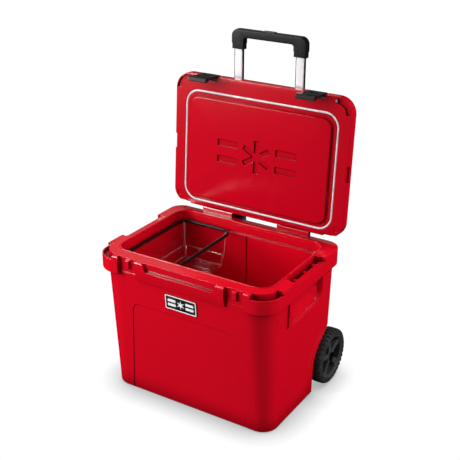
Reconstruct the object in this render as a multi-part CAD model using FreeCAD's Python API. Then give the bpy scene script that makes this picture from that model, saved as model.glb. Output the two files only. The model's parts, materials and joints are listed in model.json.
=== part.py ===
"""Wheeled cool box with an open hinged lid, two latches, a lift-out basket and a telescopic handle.

Frame, in millimetres: +Z up, Z=0 is the floor under the flat base, X=0 is the middle of the width,
the front with the badge faces -Y, and the wheels and the handle are at +Y.
The lid is modelled closed and then swung open about its hinge line.
"""
import math
import os
import FreeCAD, Part
from FreeCAD import Vector as V

os.makedirs("parts", exist_ok=True)

# ---- driving dimensions, mm ----
RIM_X = 300.0          # half width of the rim
RIM_FRONT = -217.0
RIM_REAR = 219.0
RIM_R_FRONT = 64.0     # plan corner radii of the rim
RIM_R_REAR = 44.0
RIM_BOTTOM = 409.0
RIM_TOP = 466.2
BEAD_TOP = 467.4       # thin bead round the opening
BASE_X = 279.0         # half width of the body at the floor
BODY_TOP_X = 289.0     # half width of the body under the rim
BASE_FRONT = -171.5
BODY_TOP_FRONT = -204.5
BODY_REAR = 203.0
BASE_R = 50.0
TOP_R = 72.0
REAR_R = 35.0
SHELL_T = 4.0          # outer skin
LINER_T = 3.2          # inner tub
OPEN_X = 258.4         # half width of the opening at the top
OPEN_FRONT = -163.9
OPEN_REAR = 184.7
OPEN_R = 40.0
LEDGE_Z = 431.0        # ledge that carries the basket
LEDGE_W = 10.0
FLOOR_Z = 34.0         # inside floor
WHEEL_Y = 188.0
WHEEL_Z = 89.0
TYRE_R = 89.0
TYRE_IN = 69.0
TYRE_X0 = 256.0        # inner and outer faces of the right-hand tyre
TYRE_X1 = 302.0
WELL_R = 95.0
WELL_Y = 91.0          # upright edge of the body in front of the wheel
WELL_SLOPE = 0.84
AXLE_R = 6.0
HINGE_Y = 212.4
HINGE_Z = 477.9
LID_OPEN_DEG = 93.6
LID_X = 302.0
LID_FRONT = -218.0
LID_REAR = 207.2
LID_BOTTOM = 468.0
LID_TOP = 506.0
LID_R = 52.0
GASKET_X = 261.2
GASKET_FRONT = -166.8
GASKET_REAR = 187.6
GASKET_R = 44.0
GASKET_W = 6.0
PANEL_X = 243.0
PANEL_FRONT = -150.0
PANEL_REAR = 172.0
PANEL_DROP = 8.0
LUG_X0 = 81.0          # hinge lugs on the rim
LUG_X1 = 191.0
LUG_R = 8.6
PIN_R = 2.5
PIN_CLEAR = 0.05
PEG_X = 250.0          # tie-down pegs in the lid corners
PEG_Y = -205.0
PEG_R = 4.0
LATCH_X = 181.5
LATCH_HALF = 30.0
LATCH_PIN_Y = -211.0
LATCH_PIN_Z = 484.0
HANDLE_X = 105.0       # tube centre lines
HANDLE_Y = 279.6
INNER = (30.0, 10.0)   # outside of the inner tube, width by depth
TUBE_T = 1.5
SLIDE_GAP = 0.4        # per side between two tubes
LOWER_COLLAR_TOP = 455.0
STROKE_LOW = 264.0
STROKE_UP = 263.0
GRIP_BOTTOM = 992.0
GRIP_TOP = 1052.0


# ---- helpers ----
def save(shape, name):
    """Write one node and say how many solids it holds."""
    shape = shape.removeSplitter() if len(shape.Solids) == 1 else shape
    shape.exportStep("parts/%s.step" % name)
    print(name, len(shape.Solids), round(shape.Volume / 1000.0, 1), shape.isValid())


def box(x0, x1, y0, y1, z0, z1):
    return Part.makeBox(x1 - x0, y1 - y0, z1 - z0, V(x0, y0, z0))


def cyl(p, d, r, h):
    return Part.makeCylinder(r, h, V(*p), V(*d))


def mirrored(shape):
    return shape.mirror(V(0, 0, 0), V(1, 0, 0))


def both(shape):
    """The shape and its mirror image across X=0."""
    return Part.makeCompound([shape, mirrored(shape)])


def outline(x0, x1, y0, y1, r0, r1, z):
    """Rounded rectangle at height z: radius r0 on the two low-Y corners and r1 on the high-Y ones."""
    k = 1.0 - 0.5 ** 0.5
    def pt(x, y):
        return V(x, y, z)
    e = [
        Part.makeLine(pt(x0 + r0, y0), pt(x1 - r0, y0)),
        Part.Arc(pt(x1 - r0, y0), pt(x1 - k * r0, y0 + k * r0), pt(x1, y0 + r0)).toShape(),
        Part.makeLine(pt(x1, y0 + r0), pt(x1, y1 - r1)),
        Part.Arc(pt(x1, y1 - r1), pt(x1 - k * r1, y1 - k * r1), pt(x1 - r1, y1)).toShape(),
        Part.makeLine(pt(x1 - r1, y1), pt(x0 + r1, y1)),
        Part.Arc(pt(x0 + r1, y1), pt(x0 + k * r1, y1 - k * r1), pt(x0, y1 - r1)).toShape(),
        Part.makeLine(pt(x0, y1 - r1), pt(x0, y0 + r0)),
        Part.Arc(pt(x0, y0 + r0), pt(x0 + k * r0, y0 + k * r0), pt(x0 + r0, y0)).toShape(),
    ]
    return Part.Wire(e)


def plate(x0, x1, y0, y1, r0, r1, z0, z1):
    """Upright prism on a rounded rectangle."""
    return Part.Face(outline(x0, x1, y0, y1, r0, r1, z0)).extrude(V(0, 0, z1 - z0))


def ring(x0, x1, y0, y1, r, w, z0, z1):
    """Rounded rectangular ring of width w measured inwards from the outline."""
    outer = plate(x0, x1, y0, y1, r, r, z0, z1)
    return outer.cut(plate(x0 + w, x1 - w, y0 + w, y1 - w, r - w, r - w, z0 - 1, z1 + 1))


def profile_yz(points, x0, x1):
    """Prism along X on a polygon of (y, z) points."""
    w = Part.makePolygon([V(x0, y, z) for y, z in points + points[:1]])
    return Part.Face(w).extrude(V(x1 - x0, 0, 0))


def profile_xz(points, y0, y1):
    """Prism along Y on a polygon of (x, z) points."""
    w = Part.makePolygon([V(x, y0, z) for x, z in points + points[:1]])
    return Part.Face(w).extrude(V(0, y1 - y0, 0))


def fillet_at(shape, r, pick):
    """Round the edges that pick(edge) chooses."""
    edges = [e for e in shape.Edges if pick(e)]
    return shape.makeFillet(r, edges) if edges else shape


def at_z(z):
    """Chooses the edges that lie flat at height z."""
    return lambda e: abs(e.BoundBox.ZMin - z) < 1e-4 and abs(e.BoundBox.ZMax - z) < 1e-4


# ---- body ----
def draft_volume(inset, z0, z1):
    """The tapering body between two heights, moved inwards by inset all round."""
    def at(z):
        t = z / RIM_BOTTOM
        x = BASE_X + (BODY_TOP_X - BASE_X) * t - inset
        front = BASE_FRONT + (BODY_TOP_FRONT - BASE_FRONT) * t + inset
        r = BASE_R + (TOP_R - BASE_R) * t - inset
        return outline(-x, x, front, BODY_REAR - inset, r, REAR_R - inset, z)
    return Part.makeLoft([at(z0), at(z1)], True, True)


def well(grow, x):
    """The space behind and under the body where wheels and axle go; grow moves its wall outwards."""
    r = WELL_R + grow
    y0 = WHEEL_Y - r
    p = V(-x, WHEEL_Y - r, WHEEL_Z)
    m = V(-x, WHEEL_Y - r * 0.906, WHEEL_Z + r * 0.423)
    q = V(-x, WHEEL_Y - r * 0.643, WHEEL_Z + r * 0.766)
    end_y = BODY_REAR + 40.0
    end_z = q.z + (end_y - q.y) * WELL_SLOPE
    e = [
        Part.makeLine(V(-x, y0, -20), p),
        Part.Arc(p, m, q).toShape(),
        Part.makeLine(q, V(-x, end_y, end_z)),
        Part.makeLine(V(-x, end_y, end_z), V(-x, end_y, -20)),
        Part.makeLine(V(-x, end_y, -20), V(-x, y0, -20)),
    ]
    return Part.Face(Part.Wire(e)).extrude(V(2 * x, 0, 0))


def cavity(grow, bottom):
    """Inside of the tub: a straight neck, a ledge, and a tapering tub stepped over the wheels."""
    g = grow
    top = plate(-OPEN_X - g, OPEN_X + g, OPEN_FRONT - g, OPEN_REAR + g, OPEN_R + g, OPEN_R + g,
                LEDGE_Z - g, BEAD_TOP + 1.0)
    w = LEDGE_W - 2.0
    x1 = OPEN_X - w + g
    def at(z):
        s = (LEDGE_Z - z)
        x = x1 - 0.024 * s
        y0 = OPEN_FRONT + w + 0.075 * s - g
        y1 = OPEN_REAR - w + g
        r = OPEN_R - 4.0 + g
        return outline(-x, x, y0, y1, r, r, z)
    tub = Part.makeLoft([at(bottom - g), at(LEDGE_Z)], True, True)
    step = well(38.0 - g, 400.0)
    return top.fuse(tub.cut(step))


def recess_outline(x, y0, y1, z0, r0, r1):
    """Outline of the hand recess in the plane x, with a small and a large lower corner."""
    pts = [(y0, RIM_BOTTOM)]
    for k in range(7):
        t = math.radians(180 + 15 * k)
        pts.append((y0 + r0 + r0 * math.cos(t), z0 + r0 + r0 * math.sin(t)))
    for k in range(9):
        t = math.radians(270 + 10.5 * k)
        pts.append((y1 - r1 + r1 * math.cos(t), z0 + r1 + r1 * math.sin(t)))
    pts.append((y1 - 3, RIM_BOTTOM))
    return Part.makePolygon([V(x, y, z) for y, z in pts + pts[:1]])


def hand_recess():
    """Pocket under the rim on the right side, with a deeper finger hold at its top."""
    steps = [(RIM_X + 2, -75, 124, 308, 12, 36), (275, -64, 111, 324, 9, 28), (274, -64, 111, 326, 9, 28)]
    pocket = Part.makeLoft([recess_outline(*s) for s in steps], True, True)
    hold = [(279, -60, 108, 338, 9, 26), (262, -52, 98, 372, 8, 20)]
    return pocket.fuse(Part.makeLoft([recess_outline(*s) for s in hold], True, True))


def side_rail_cuts():
    """Lowered ledge between the corner bumpers and the slot behind it, right side."""
    ledge = box(281, RIM_X + 5, -83, 105, 451, RIM_TOP + 5)
    slot = box(266, 281.5, -78, 100, 430, RIM_TOP + 5)
    cut = ledge.fuse(slot)
    for y in (-48, 10, 66):
        cut = cut.cut(box(271, 281.5, y, y + 13, 430, 451))
    return cut


def corner_slot():
    """Curved channel round the front right corner of the rim."""
    c = V(RIM_X - RIM_R_FRONT, RIM_FRONT + RIM_R_FRONT, 446)
    outer = Part.makeCylinder(RIM_R_FRONT - 5, 30, c, V(0, 0, 1))
    inner = Part.makeCylinder(RIM_R_FRONT - 20, 40, c - V(0, 0, 5), V(0, 0, 1))
    band = outer.cut(inner)
    keep = box(c.x - 4, RIM_X + 5, RIM_FRONT - 5, c.y + 6, 440, 480)
    lip = Part.makeCylinder(RIM_R_FRONT + 3, 30, c + V(0, 0, 8), V(0, 0, 1))
    lip = lip.cut(Part.makeCylinder(RIM_R_FRONT - 6, 40, c, V(0, 0, 1)))
    hole = Part.makeCylinder(6.5, 30, V(c.x + 4, RIM_FRONT + 12.5, 434), V(0, 0, 1))
    return band.common(keep).fuse(lip.common(keep)).fuse(hole)


def front_slope(offset):
    """Everything in front of the sloping front face, moved back by offset."""
    k = (BODY_TOP_FRONT - BASE_FRONT) / RIM_BOTTOM
    pts = [(BASE_FRONT - 20 * k + offset, -20), (-300, -20), (-300, 460),
           (BASE_FRONT + 460 * k + offset, 460)]
    return profile_yz(pts, -320, 320)


def arch_panel():
    """Shallow arched field pressed into the front face."""
    pts = [(-205, -5), (205, -5), (178, 298), (171, 312), (158, 319), (-158, 319), (-171, 312), (-178, 298)]
    return profile_xz(pts, -260, -120).common(front_slope(1.5))


def hinge_lug():
    """Right-hand hinge lug on the rim: rounded block with an open pocket for the lid knuckle."""
    block = box(LUG_X0, LUG_X1, HINGE_Y - LUG_R, RIM_REAR - 1.0, RIM_TOP - 3, HINGE_Z)
    barrel = cyl((LUG_X0, HINGE_Y, HINGE_Z), (1, 0, 0), LUG_R, LUG_X1 - LUG_X0)
    lug = block.fuse(barrel.common(box(0, 300, HINGE_Y - 20, RIM_REAR - 1.0, RIM_TOP, 520)))
    pocket = box(LUG_X0 + 15, LUG_X1 - 15, HINGE_Y - 6.2, RIM_REAR + 5, RIM_TOP + 0.8, 520)
    bore = cyl((LUG_X0 + 3, HINGE_Y, HINGE_Z), (1, 0, 0), PIN_R, LUG_X1 - LUG_X0 - 6)
    return lug.cut(pocket), bore, pocket


def rim_block():
    """Rim band with bumpers, latch recesses, keepers, grip panel and side rails."""
    rim = plate(-RIM_X, RIM_X, RIM_FRONT, RIM_REAR, RIM_R_FRONT, RIM_R_REAR, RIM_BOTTOM, RIM_TOP)
    rim = fillet_at(rim, 5.0, at_z(RIM_BOTTOM))
    rim = fillet_at(rim, 5.0, at_z(RIM_TOP))
    panel = profile_yz([(-209, 405), (RIM_FRONT, 438), (RIM_FRONT, 440), (-200, 440), (-200, 405)], -150, 150)
    wedge = profile_yz([(-230, 400), (-209, 405), (RIM_FRONT, 438), (-230, 438)], -150.5, 150.5)
    rim = rim.cut(wedge).fuse(panel)
    recess = box(LATCH_X - 31, LATCH_X + 31, -240, BODY_TOP_FRONT - 0.3, RIM_BOTTOM - 6, RIM_TOP + 5)
    rim = rim.cut(both(recess))
    keeper = profile_yz([(-202, 430), (-211.5, 436), (-211.5, 458), (-209, 461), (-202, 461)],
                        LATCH_X - 6.8, LATCH_X + 6.8)
    rim = rim.fuse(both(keeper).Solids)
    scoop = profile_xz([(-113, 442), (113, 442), (129, 475), (-129, 475)], -240, -207.5)
    scoop = scoop.fuse(profile_xz([(-113, 442), (113, 442), (114, 445), (-114, 445)], -240, -206))
    rim = rim.cut(scoop)
    for cut in (side_rail_cuts(), corner_slot()):
        rim = rim.cut(both(cut))
    return rim


def body_parts():
    """Outer shell, foam and inner tub."""
    skin = fillet_at(draft_volume(0.0, 0.0, RIM_BOTTOM + 10), 7.0, at_z(0.0))
    skin = skin.cut(well(0.0, 400.0))
    skin = skin.cut(arch_panel())
    skin = skin.cut(both(hand_recess()))
    rib = profile_xz([(270, 322), (286, 322), (292, 330), (294, 404), (290, RIM_BOTTOM + 1), (270, RIM_BOTTOM + 1)],
                     -96, -78)
    skin = skin.fuse(both(rib).Solids)
    lug, bore, pocket = hinge_lug()
    shell = skin.fuse(rim_block()).fuse(both(lug).Solids)
    shell = shell.cut(both(pocket)).cut(both(bore))
    bead = ring(-OPEN_X - 4, OPEN_X + 4, OPEN_FRONT - 4, OPEN_REAR + 4, OPEN_R + 4, 4.0, RIM_TOP - 1, BEAD_TOP)
    bead = fillet_at(bead, 0.8, at_z(BEAD_TOP))
    shell = shell.fuse(bead)

    tub_out = cavity(LINER_T, FLOOR_Z)
    tub_in = cavity(0.0, FLOOR_Z)
    neck = plate(-OPEN_X, OPEN_X, OPEN_FRONT, OPEN_REAR, OPEN_R, OPEN_R, RIM_TOP - 12, RIM_TOP + 5)
    below = box(-400, 400, -400, 400, -10, RIM_TOP - 8)
    liner = tub_out.common(below).cut(tub_in)
    groove = box(-12, -6, OPEN_REAR - 9, OPEN_REAR - 5.6, FLOOR_Z + 150, LEDGE_Z)
    liner = liner.cut(groove)

    core = draft_volume(SHELL_T, SHELL_T, 402.0).cut(well(SHELL_T, 400.0))
    core = core.cut(both(box(252, 320, -110, 135, 300, 410)))
    neck_core = plate(-250, 250, -193, 202, 45, 20, 401, RIM_TOP - 12)
    core = core.fuse(neck_core)
    hollow = core.fuse(tub_out.common(below)).fuse(neck)
    shell = shell.cut(hollow)
    foam = core.cut(tub_out)
    return shell, foam, liner


def badge():
    """Plain rounded name plate on the front face."""
    b = plate(-53, 53, -23, 23, 5, 5, 0, 3.0)
    b = fillet_at(b, 0.8, at_z(3.0))
    b.rotate(V(0, 0, 0), V(1, 0, 0), 90)
    b.rotate(V(0, 0, 0), V(1, 0, 0), 4.6)
    k = (BODY_TOP_FRONT - BASE_FRONT) / RIM_BOTTOM
    z = 363.5
    b.translate(V(0, BASE_FRONT + k * z - 0.05, z))
    return b


# ---- lid, modelled closed ----
def swing(shape):
    """Turn a closed lid part to the open position."""
    s = shape.copy()
    s.rotate(V(0, HINGE_Y, HINGE_Z), V(1, 0, 0), -LID_OPEN_DEG)
    return s


def lid_knuckle():
    """Right-hand arm on the lid that hooks down behind the lug to the hinge line."""
    x0 = LUG_X0 + 15.5
    x1 = LUG_X1 - 15.5
    arm = profile_yz([(198, 489), (HINGE_Y + 5.5, 489), (HINGE_Y + 8.5, 492), (HINGE_Y + 8.5, 498), (205, 503),
                      (198, 503)], x0, x1)
    web = box(x0, x1, HINGE_Y - 4.5, HINGE_Y + 5.5, HINGE_Z, 492)
    barrel = cyl((x0, HINGE_Y, HINGE_Z), (1, 0, 0), 5.7, x1 - x0)
    bore = cyl((x0 - 1, HINGE_Y, HINGE_Z), (1, 0, 0), PIN_R + PIN_CLEAR, x1 - x0 + 2)
    return arm.fuse(web).fuse(barrel), bore


def motif():
    """Generic recessed ornament: a six-armed star between two pairs of bars."""
    z0 = LID_BOTTOM - PANEL_DROP - 1
    depth = 5.0
    mid = (PANEL_FRONT + PANEL_REAR) / 2 - 4
    parts = []
    for k in range(3):
        arm = plate(-52, 52, -8, 8, 3, 3, z0, z0 + depth)
        arm.rotate(V(0, 0, 0), V(0, 0, 1), 60 * k + 30)
        arm.translate(V(0, mid, 0))
        parts.append(arm)
    for sx in (-1, 1):
        for dy in (-26, 26):
            xa, xb = sorted((sx * 66, sx * 138))
            parts.append(plate(xa, xb, mid + dy - 11, mid + dy + 11, 5, 5, z0, z0 + depth))
    star = parts[0].fuse(parts[1:3])
    return Part.makeCompound([star] + parts[3:])


def lid_parts():
    """Lid shell, foam, inner panel and gasket in the closed position."""
    lid = plate(-LID_X, LID_X, LID_FRONT, LID_REAR, LID_R, LID_R - 6, LID_BOTTOM, LID_TOP)
    lid = fillet_at(lid, 13.0, at_z(LID_TOP))
    lid = fillet_at(lid, 2.5, at_z(LID_BOTTOM))
    core = plate(-LID_X + 13, LID_X - 13, -198.5, 197, 38, 38, LID_BOTTOM + 6, LID_TOP - 5)
    seat = plate(-250, 250, -156, 178, 36, 36, LID_BOTTOM - 1, LID_BOTTOM + 6)
    groove = ring(-GASKET_X - 3.4, GASKET_X + 3.4, GASKET_FRONT - 3.4, GASKET_REAR + 3.4, GASKET_R + 3.4, 6.8,
                  LID_BOTTOM - 1, LID_BOTTOM + 3.6)
    cuts = [groove]
    for sx in (-1, 1):
        a, b = sorted((sx * (LUG_X0 - 1.2), sx * (LUG_X1 + 1.2)))
        cuts.append(box(a, b, HINGE_Y - LUG_R - 0.7, 230, LID_BOTTOM - 1, HINGE_Z + LUG_R + 0.8))
        a, b = sorted((sx * (LATCH_X - 31), sx * (LATCH_X + 31)))
        cuts.append(box(a, b, -230, -203, LID_BOTTOM - 1, LID_TOP + 1))
        a, b = sorted((sx * 238, sx * 310))
        cuts.append(box(a, b, 199.5, 230, LID_BOTTOM - 1, LID_BOTTOM + 14))
        cuts.append(cyl((sx * 281, 178, LID_BOTTOM - 1), (0, 0, 1), 9.5, 2.2))
        a, b = sorted((sx * 297, sx * 305))
        cuts.append(box(a, b, -18, 30, LID_BOTTOM - 1, LID_BOTTOM + 12))
        c = V(sx * (LID_X - LID_R), LID_FRONT + LID_R, LID_BOTTOM - 1)
        arc = Part.makeCylinder(LID_R - 5, 5.8, c, V(0, 0, 1)).cut(Part.makeCylinder(LID_R - 19, 9, c, V(0, 0, 1)))
        a, b = sorted((c.x + sx * 2, sx * 310))
        cuts.append(arc.common(box(a, b, -230, c.y - 2, 460, 480)))
        cuts.append(cyl((sx * PEG_X, PEG_Y, LID_BOTTOM - 1), (0, 0, 1), PEG_R, 7))
    for c in cuts:
        lid = lid.cut(c)
    knuckle, bore = lid_knuckle()
    lid = lid.fuse(both(knuckle).Solids).cut(both(bore))
    pin_hole = cyl((LATCH_X - 34, LATCH_PIN_Y, LATCH_PIN_Z), (1, 0, 0), PIN_R, 68)
    lid = lid.cut(both(pin_hole))
    shell = lid.cut(core).cut(seat)
    panel = plate(-249.9, 249.9, -155.9, 177.9, 35.9, 35.9, LID_BOTTOM, LID_BOTTOM + 6)
    plug = plate(-PANEL_X, PANEL_X, PANEL_FRONT, PANEL_REAR, 30, 30, LID_BOTTOM - PANEL_DROP, LID_BOTTOM)
    plug = fillet_at(plug, 4.0, at_z(LID_BOTTOM - PANEL_DROP))
    panel = panel.fuse(plug).cut(motif())
    back = plate(-PANEL_X + 5, PANEL_X - 5, PANEL_FRONT + 5, PANEL_REAR - 5, 25, 25, LID_BOTTOM - PANEL_DROP + 5.5,
                 LID_BOTTOM + 6)
    panel = panel.cut(back)
    core = core.fuse(back)
    gasket = ring(-GASKET_X - GASKET_W / 2, GASKET_X + GASKET_W / 2, GASKET_FRONT - GASKET_W / 2,
                  GASKET_REAR + GASKET_W / 2, GASKET_R + GASKET_W / 2, GASKET_W, LID_BOTTOM - 0.2, LID_BOTTOM + 3.6)
    return shell, core, panel, gasket


def latch():
    """Right-hand latch hanging from its pin, closed position."""
    x0 = LATCH_X - LATCH_HALF
    x1 = LATCH_X + LATCH_HALF
    side = [(LATCH_PIN_Y + 4.5, 488), (-218, 488), (-221, 484), (-221, 416), (-224, 411), (-224, 404), (-220, 400),
            (-211, 400), (-209, 402), (-209, 411), (-213, 416), (-213, 478), (LATCH_PIN_Y + 4.5, 480)]
    body = profile_yz(side, x0, x1)
    window = box(LATCH_X - 15, LATCH_X + 15, -230, -205, 452, 466)
    slot = box(LATCH_X - 18, LATCH_X + 18, -214.5, -205, 424, 446)
    bore = cyl((x0 - 1, LATCH_PIN_Y, LATCH_PIN_Z), (1, 0, 0), PIN_R + PIN_CLEAR, x1 - x0 + 2)
    return body.cut(window).cut(slot).cut(bore)


# ---- basket ----
def basket():
    """Clear tray that hangs on the ledge, and its soft black rim band."""
    x0, x1, y0, y1 = -241.0, -67.0, -147.0, 168.0
    top, mid, bottom = LEDGE_Z + 6.0, 352.0, 318.0
    def solid(g):
        upper = Part.makeLoft([outline(x0 + 6 + g, x1 - 6 - g, y0 + 6 + g, y1 - 6 - g, 24, 24, mid + g),
                               outline(x0 + g, x1 - g, y0 + g, y1 - g, 30, 30, top + 2)], True, True)
        lower = Part.makeLoft([outline(x0 + 14 + g, x1 - 14 - g, y0 + 14 + g, y1 - 14 - g, 18, 18, bottom + g),
                               outline(x0 + 11 + g, x1 - 11 - g, y0 + 11 + g, y1 - 11 - g, 20, 20, mid + 2 + g)],
                              True, True)
        return upper.fuse(lower)
    tray = solid(0.0).cut(solid(2.5)).common(box(-300, 0, -300, 300, 300, top))
    b0, b1, c0, c1 = -250.0, -58.0, -155.5, 176.0
    band = plate(b0, b1, c0, c1, 38, 38, LEDGE_Z + 0.4, LEDGE_Z + 9.0)
    band = fillet_at(band, 2.5, at_z(LEDGE_Z + 9.0))
    band = band.cut(plate(x0, x1, y0, y1, 30, 30, LEDGE_Z - 5, LEDGE_Z + 20))
    return tray, band


# ---- wheels and axle ----
def tyre():
    """Right-hand tyre with shoulder lugs."""
    a, b = TYRE_X0, TYRE_X1
    pts = [(a + 2, TYRE_IN), (a, TYRE_IN + 4), (a, TYRE_R - 9), (a + 3, TYRE_R - 4), (a + 8, TYRE_R - 1),
           (a + 15, TYRE_R), (b - 15, TYRE_R), (b - 8, TYRE_R - 1), (b - 3, TYRE_R - 4), (b, TYRE_R - 9),
           (b, TYRE_IN + 4), (b - 2, TYRE_IN)]
    w = Part.makePolygon([V(x, 0, z) for x, z in pts + pts[:1]])
    t = Part.Face(w).revolve(V(0, 0, 0), V(1, 0, 0), 360)
    cuts = []
    n = 24
    for k in range(n):
        for side, x0, x1 in ((0, a - 1, a + 11), (1, b - 11, b + 1)):
            g = box(x0, x1, -2.2, 2.2, TYRE_R - 6, TYRE_R + 3)
            g.rotate(V(0, 0, 0), V(1, 0, 0), 360.0 * (k + 0.5 * side) / n)
            cuts.append(g)
    mid = (a + b) / 2
    for x in (mid - 7, mid + 7):
        groove = cyl((x - 1.5, 0, 0), (1, 0, 0), TYRE_R + 2, 3)
        cuts.append(groove.cut(cyl((x - 2, 0, 0), (1, 0, 0), TYRE_R - 3.5, 4)))
    t = t.cut(Part.makeCompound(cuts))
    t.translate(V(0, WHEEL_Y, WHEEL_Z))
    return t


def hub():
    """Right-hand wheel centre: outer ring, barrel and five tapered spokes."""
    a, b = TYRE_X0, TYRE_X1
    r = cyl((a + 3, 0, 0), (1, 0, 0), TYRE_IN, b - a - 6).cut(cyl((a, 0, 0), (1, 0, 0), TYRE_IN - 5, b - a))
    web = cyl((a + 12, 0, 0), (1, 0, 0), TYRE_IN - 2, 5)
    barrel = cyl((a + 2, 0, 0), (1, 0, 0), 17.0, b - a - 7)
    h = r.fuse(web).fuse(barrel)
    for k in range(5):
        s = Part.makePolygon([V(b - 22, y, z) for y, z in ((-7, 12), (7, 12), (10.5, 66), (-10.5, 66), (-7, 12))])
        s = Part.Face(s).extrude(V(16, 0, 0))
        s = s.cut(box(b - 12, b, -2.6, 2.6, 26, 58))
        s.rotate(V(0, 0, 0), V(1, 0, 0), 72.0 * k + 10)
        h = h.fuse(s)
    h = h.cut(cyl((b - 7.5, 0, 0), (1, 0, 0), 14.2, 10))
    h = h.cut(cyl((a - 1, 0, 0), (1, 0, 0), AXLE_R + PIN_CLEAR, b - a + 2))
    h.translate(V(0, WHEEL_Y, WHEEL_Z))
    return h


def hub_trim():
    """Metal ring and plug on the outer end of the hub."""
    b = TYRE_X1
    metal = cyl((b - 7.5, WHEEL_Y, WHEEL_Z), (1, 0, 0), 14.2, 5.0)
    metal = metal.cut(cyl((b - 8, WHEEL_Y, WHEEL_Z), (1, 0, 0), 7.2, 8))
    metal = fillet_at(metal, 1.0, lambda e: abs(e.BoundBox.XMin - (b - 2.5)) < 1e-4)
    plug = cyl((b - 7.5, WHEEL_Y, WHEEL_Z), (1, 0, 0), 7.2, 3.5)
    return metal, plug


def axle():
    """Through rod between the two wheels."""
    x = TYRE_X1 - 8.0
    return cyl((-x, WHEEL_Y, WHEEL_Z), (1, 0, 0), AXLE_R, 2 * x)


def axle_bracket():
    """Right-hand arm from the body to the axle."""
    x0, x1 = 226.0, 236.0
    arm = profile_yz([(WELL_Y + 2.3, 58), (WHEEL_Y, 72), (WHEEL_Y, 106), (140, 110), (WELL_Y + 6.5, 104),
                      (WELL_Y + 2.3, 86)], x0, x1)
    boss = cyl((x0 - 4, WHEEL_Y, WHEEL_Z), (1, 0, 0), 17, x1 - x0 + 8)
    flange = box(x0 - 14, x1 + 10, WELL_Y + 2.1, WELL_Y + 7.1, 10, 84)
    arm = arm.fuse(boss).fuse(flange)
    arm = arm.cut(cyl((x0 - 10, WHEEL_Y, WHEEL_Z), (1, 0, 0), AXLE_R + 0.02, 40))
    return arm


def washers():
    """Thrust washers on the axle at the inner side of each wheel."""
    w = cyl((TYRE_X0 - 3.0, WHEEL_Y, WHEEL_Z), (1, 0, 0), 13, 4.4)
    w = w.cut(cyl((TYRE_X0 - 5, WHEEL_Y, WHEEL_Z), (1, 0, 0), AXLE_R + 0.02, 8))
    return both(w)


# ---- telescopic handle ----
def tube(size, wall, z0, z1, x):
    """Upright hollow tube with rounded corners on the handle line."""
    w, d = size
    outer = plate(x - w / 2, x + w / 2, HANDLE_Y - d / 2, HANDLE_Y + d / 2, 3.0, 3.0, z0, z1)
    i = wall
    inner = plate(x - w / 2 + i, x + w / 2 - i, HANDLE_Y - d / 2 + i, HANDLE_Y + d / 2 - i, 1.6, 1.6, z0 - 1, z1 + 1)
    return outer.cut(inner)


def grown(size, k):
    """Section size of the k-th tube outwards from the inner one."""
    s = 2 * k * (TUBE_T + SLIDE_GAP)
    return (size[0] + s, size[1] + s)


def collar(size, hole, z0, z1, x):
    """Bezel round a tube."""
    w, d = size
    c = plate(x - w / 2, x + w / 2, HANDLE_Y - d / 2, HANDLE_Y + d / 2, 4.0, 4.0, z0, z1)
    c = fillet_at(c, 1.5, at_z(z1))
    w, d = hole
    return c.cut(plate(x - w / 2, x + w / 2, HANDLE_Y - d / 2, HANDLE_Y + d / 2, 3.0, 3.0, z0 - 1, z1 + 1))


def housing():
    """Moulded cover on the back of the body that carries the two outer tubes."""
    x = 142.0
    outer = profile_yz([(BODY_REAR + 0.2, 400), (BODY_REAR + 0.2, 218), (165, 186), (165, 62), (285, 62), (297, 84),
                        (297, 386), (284, 400)], -x, x)
    outer = fillet_at(outer, 6.0, lambda e: abs(e.BoundBox.XMin) > x - 1e-3 and abs(e.BoundBox.XMax) > x - 1e-3
                      and e.BoundBox.YMin > 270)
    inner = profile_yz([(150, 396), (150, 66), (282, 66), (292, 86), (292, 384), (282, 396)], -x + 5, x - 5)
    h = outer.cut(inner)
    size = grown(INNER, 2)
    for sx in (-1, 1):
        c = sx * HANDLE_X
        boss = plate(c - 24, c + 24, HANDLE_Y - 15, HANDLE_Y + 17, 6, 6, 96, 444)
        h = h.fuse(boss.common(box(-200, 200, 200, 296.5, 60, 500)))
    for sx in (-1, 1):
        c = sx * HANDLE_X
        w, d = size
        h = h.cut(plate(c - w / 2, c + w / 2, HANDLE_Y - d / 2, HANDLE_Y + d / 2, 3, 3, 118, 460))
    h = h.fuse(box(-60, 60, 203.2, 292.5, 230, 236))
    for z in (150, 190, 230, 270, 310, 350):
        h = h.cut(plate(-62, 62, 294.5, 310, 1, 1, z, z + 8))
    return h.cut(cyl((-200, WHEEL_Y, WHEEL_Z), (1, 0, 0), AXLE_R + 0.02, 400))


def grip():
    """U-shaped hand grip."""
    d = 11.0
    bar = box(-127, 127, HANDLE_Y - d, HANDLE_Y + d, 1027, GRIP_TOP)
    leg = box(83, 127, HANDLE_Y - d, HANDLE_Y + d, 1009, 1035)
    g = bar.fuse(both(leg).Solids).removeSplitter()
    def along_y(e, x, z):
        b = e.BoundBox
        return b.XLength < 1e-4 and b.ZLength < 1e-4 and abs(abs(b.XMin) - x) < 1e-3 and abs(b.ZMin - z) < 1e-3
    g = fillet_at(g, 22.0, lambda e: along_y(e, 127, GRIP_TOP))
    g = fillet_at(g, 8.0, lambda e: along_y(e, 83, 1027))
    g = fillet_at(g, 3.5, lambda e: e.BoundBox.YLength < 1e-4 and e.BoundBox.ZMax > 1009.1)
    g = g.cut(plate(-21.5, 21.5, HANDLE_Y - 7.2, HANDLE_Y + 7.2, 5, 5, GRIP_TOP - 9, GRIP_TOP + 2))
    for sx in (-1, 1):
        c = sx * HANDLE_X
        g = g.cut(plate(c - 15, c + 15, HANDLE_Y - 5, HANDLE_Y + 5, 3, 3, 1000, 1024))
        g = g.cut(cyl((c, HANDLE_Y - d - 1, 1014), (0, 1, 0), 3.6, 3.5))
    return g


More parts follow.
